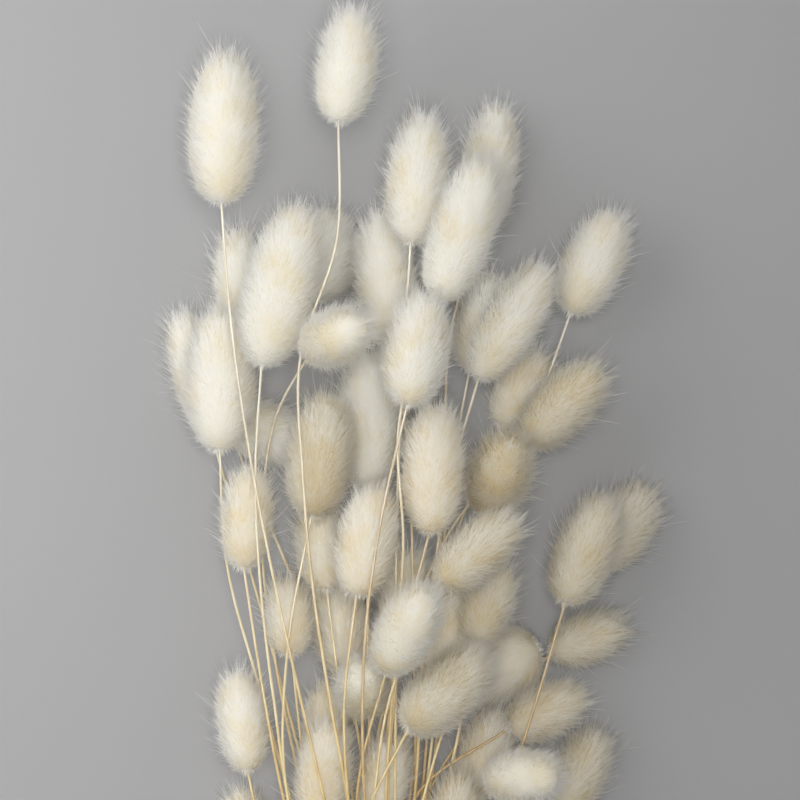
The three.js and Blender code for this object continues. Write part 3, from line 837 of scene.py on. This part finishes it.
def make_head(k, node):
    """The dressed head for a CAD node: a core, and the coats that grow from it."""
    head = heads[node]
    random = np.random.default_rng(HEAD_SEED + k)
    outline = Outline(head)
    strands = Strands()
    grow_core(strands, outline)
    grow_fur(strands, outline, random)
    grow_halo(strands, outline, random)
    grow_wisps(strands, outline, random)
    grow_scruff(strands, outline, random)
    grow_awns(strands, outline, random)
    piece = strand_object(node.replace("head", "fluffy_head"), strands, head, fluff_of(node))
    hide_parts(node)
    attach(piece, "root")


for k, node in enumerate(HEAD_NODES):
    make_head(k, node)

# ---------------------------------------------------------------------------------------------
# Stems
# ---------------------------------------------------------------------------------------------
STEM_SIDES = 8
STEM_STEP = 0.006
STEM_RADIUS_AT_CUT = 0.00068
STEM_RADIUS_AT_HEAD = 0.00042
INTO_HEAD = 0.005  # how far a stem runs on past its CAD end, inside its head
FEWEST_STEPS = 4
STEM_SEED = 300


def smooth_line(points, step):
    """Points spaced by about step along a smooth curve through the given ones."""
    gaps = np.linalg.norm(np.diff(points, axis=0), axis=1)
    knots = np.concatenate([[0], np.cumsum(gaps)])
    slopes = np.gradient(points, knots, axis=0)
    count = max(int(knots[-1] / step), FEWEST_STEPS)
    s = np.linspace(0, knots[-1], count + 1)
    k = np.clip(np.searchsorted(knots, s, side="right") - 1, 0, len(points) - 2)
    h = (knots[k + 1] - knots[k])[:, None]
    x = (s - knots[k])[:, None] / h
    return ((2 * x**3 - 3 * x**2 + 1) * points[k] + (x**3 - 2 * x**2 + x) * h * slopes[k]
            + (3 * x**2 - 2 * x**3) * points[k + 1] + (x**3 - x**2) * h * slopes[k + 1])


def tube(line, radii, sides, turn=0.0):
    """Corners and faces of a closed tube along a line, turned about it by turn radians."""
    along = normalised(np.gradient(line, axis=0))
    across = normalised(np.cross(along, np.array([0.0, 0.0, 1.0])))
    up = np.cross(across, along)
    angle = turn + np.arange(sides) * 2 * math.pi / sides
    ring = (np.cos(angle)[None, :, None] * across[:, None] + np.sin(angle)[None, :, None] * up[:, None])
    corners = (line[:, None] + ring * radii[:, None, None]).reshape(-1, 3)
    faces = []
    for row in range(len(line) - 1):
        for side in range(sides):
            a = row * sides + side
            b = row * sides + (side + 1) % sides
            faces.append((a, a + sides, b + sides, b))
    last = (len(line) - 1) * sides
    faces.append(tuple(range(sides)))
    faces.append(tuple(last + side for side in reversed(range(sides))))
    return corners, faces


def mesh_object(name, corners, faces, materials, face_materials=None):
    """A smooth-shaded piece, with a material's number for each face, or the first for all."""
    mesh = bpy.data.meshes.new(name)
    mesh.from_pydata(corners, [], faces)
    for material in materials:
        mesh.materials.append(material)
    if face_materials is not None:
        mesh.polygons.foreach_set("material_index", face_materials)
    mesh.polygons.foreach_set("use_smooth", np.ones(len(faces), bool))
    piece = bpy.data.objects.new(name, mesh)
    bpy.context.scene.collection.objects.link(piece)
    return piece


LOW_STRAW, HIGH_STRAW = 0.06, 0.24  # from the neck, where the two colours of a stem are whole
STREAK_SHADES = [(0.3, (0.80, 0.74, 0.62)), (0.62, (1, 1, 1))]


def straw_material(name, low, high):
    """Straw: streaked along the stem, golden low down and pale towards the heads."""
    material, nodes, link = new_material(name)
    place = nodes.new("ShaderNodeTexCoord")
    split = nodes.new("ShaderNodeSeparateXYZ")
    link(place.outputs["Object"], split.inputs["Vector"])
    span = nodes.new("ShaderNodeMapRange")
    span.inputs["From Min"].default_value = NECK[1] + LOW_STRAW
    span.inputs["From Max"].default_value = NECK[1] + HIGH_STRAW
    link(split.outputs["Y"], span.inputs["Value"])
    along = ramp(nodes, link, span.outputs["Result"], [(0.0, low), (1.0, high)])
    grain = noise(nodes, link, scale=900.0, detail=4.0, stretch=(1, 0.03, 1))
    streaks = ramp(nodes, link, grain, STREAK_SHADES)
    tint = nodes.new("ShaderNodeMix")
    tint.data_type = "RGBA"
    tint.blend_type = "MULTIPLY"
    tint.inputs["Factor"].default_value = 1.0
    link(along, tint.inputs["A"])
    link(streaks, tint.inputs["B"])
    shader = nodes["Principled BSDF"]
    link(tint.outputs["Result"], shader.inputs["Base Color"])
    shader.inputs["Roughness"].default_value = 0.45
    bump = nodes.new("ShaderNodeBump")
    bump.inputs["Strength"].default_value = 0.25
    bump.inputs["Distance"].default_value = 0.0002
    ridges = noise(nodes, link, scale=2500.0, detail=2.0, stretch=(1, 0.02, 1))
    link(ridges, bump.inputs["Height"])
    link(bump.outputs["Normal"], shader.inputs["Normal"])
    return material


straws = [
    straw_material("straw_pale", (0.80, 0.63, 0.28), (0.81, 0.78, 0.69)),
    straw_material("straw_golden", (0.74, 0.53, 0.19), (0.78, 0.73, 0.61)),
    straw_material("straw_brown", (0.60, 0.39, 0.14), (0.73, 0.66, 0.53)),
]
STRAW_SHARES = [0.5, 0.35, 0.15]  # of the stems


def make_stems(k, node):
    """The dressed stems for a CAD node, each round and of one straw."""
    random = np.random.default_rng(STEM_SEED + k)
    corners, faces, shades = [], [], []
    count = 0
    for owner, path in stems:
        if owner != node:
            continue
        onward = normalised(path[-1] - path[-2]) * INTO_HEAD
        line = smooth_line(np.vstack([path, path[-1] + onward]), STEM_STEP)
        share = np.linspace(0, 1, len(line))
        radii = STEM_RADIUS_AT_CUT + (STEM_RADIUS_AT_HEAD - STEM_RADIUS_AT_CUT) * share
        stem_corners, stem_faces = tube(line, radii, STEM_SIDES, random.uniform(0, 1))
        stem_corners[:, 2] = np.maximum(stem_corners[:, 2], TABLE_CLEARANCE)
        corners.append(stem_corners)
        faces += [tuple(corner + count for corner in face) for face in stem_faces]
        shades += [random.choice(len(straws), p=STRAW_SHARES)] * len(stem_faces)
        count += len(stem_corners)
    name = node.replace("stems", "straw_stems")
    piece = mesh_object(name, np.concatenate(corners), faces, straws, shades)
    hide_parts(node)
    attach(piece, "root")


for k, node in enumerate(STEM_NODES):
    make_stems(k, node)

# ---------------------------------------------------------------------------------------------
# The tie: twine of three plies, wound round the neck
# ---------------------------------------------------------------------------------------------
TWINE_TURNS = 5
TWINE_PLIES = 3
TWINE_RADIUS = 0.0009
TWINE_STEP = 0.0009  # along the twine, from one ring of corners to the next
TWINE_COLOURS = [(0.25, (0.26, 0.15, 0.06)), (0.75, (0.62, 0.44, 0.23))]
PLY_RADIUS = 0.00052
PLY_OFFSET = 0.00045
PLY_LAY = 0.0052  # one turn of the plies round each other
PLY_SIDES = 6


def twine_material():
    material, nodes, link = new_material("twine")
    shader = nodes["Principled BSDF"]
    fibres = noise(nodes, link, scale=1400.0, detail=5.0)
    link(ramp(nodes, link, fibres, TWINE_COLOURS), shader.inputs["Base Color"])
    shader.inputs["Roughness"].default_value = 0.9
    bump = nodes.new("ShaderNodeBump")
    bump.inputs["Strength"].default_value = 0.6
    bump.inputs["Distance"].default_value = 0.0002
    link(fibres, bump.inputs["Height"])
    link(bump.outputs["Normal"], shader.inputs["Normal"])
    return material


def make_tie():
    """The dressed tie: the twine's plies, laid round each other along its winding."""
    outer = (tie_high[2] - tie_low[2]) / 2
    winding = outer - TWINE_RADIUS
    length = 2 * math.pi * winding * TWINE_TURNS
    steps = int(length / TWINE_STEP)
    angle = np.linspace(0, 2 * math.pi * TWINE_TURNS, steps)
    pitch = (tie_high[1] - tie_low[1] - 2 * TWINE_RADIUS) / (TWINE_TURNS - 1)
    # The first and the last half turn run straight round
    turn = np.clip(angle / (2 * math.pi) - 0.5, 0, TWINE_TURNS - 1)
    line = np.stack([
        NECK[0] + winding * np.sin(angle),
        tie_low[1] + TWINE_RADIUS + pitch * turn,
        NECK[2] - winding * np.cos(angle),
    ], axis=1)
    outward = np.stack([np.sin(angle), np.zeros(steps), -np.cos(angle)], axis=1)
    along = normalised(np.gradient(line, axis=0))
    beside = np.cross(along, outward)
    corners, faces, count = [], [], 0
    twist = np.linspace(0, 2 * math.pi * length / PLY_LAY, steps)
    for ply in range(TWINE_PLIES):
        phase = twist + ply * 2 * math.pi / TWINE_PLIES
        path = line + PLY_OFFSET * (np.cos(phase)[:, None] * outward + np.sin(phase)[:, None] * beside)
        ply_corners, ply_faces = tube(path, np.full(steps, PLY_RADIUS), PLY_SIDES)
        corners.append(ply_corners)
        faces += [tuple(corner + count for corner in face) for face in ply_faces]
        count += len(ply_corners)
    corners = np.concatenate(corners)
    corners[:, 2] = np.maximum(corners[:, 2], TABLE_CLEARANCE)
    piece = mesh_object("twine_tie", corners, faces, [twine_material()])
    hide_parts("tie")
    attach(piece, "root")


make_tie()

scene = bpy.context.scene
scene.view_settings.view_transform = "Standard"
scene.view_settings.look = "None"
scene.cycles.diffuse_bounces = 8  # pale fluff scatters light many times
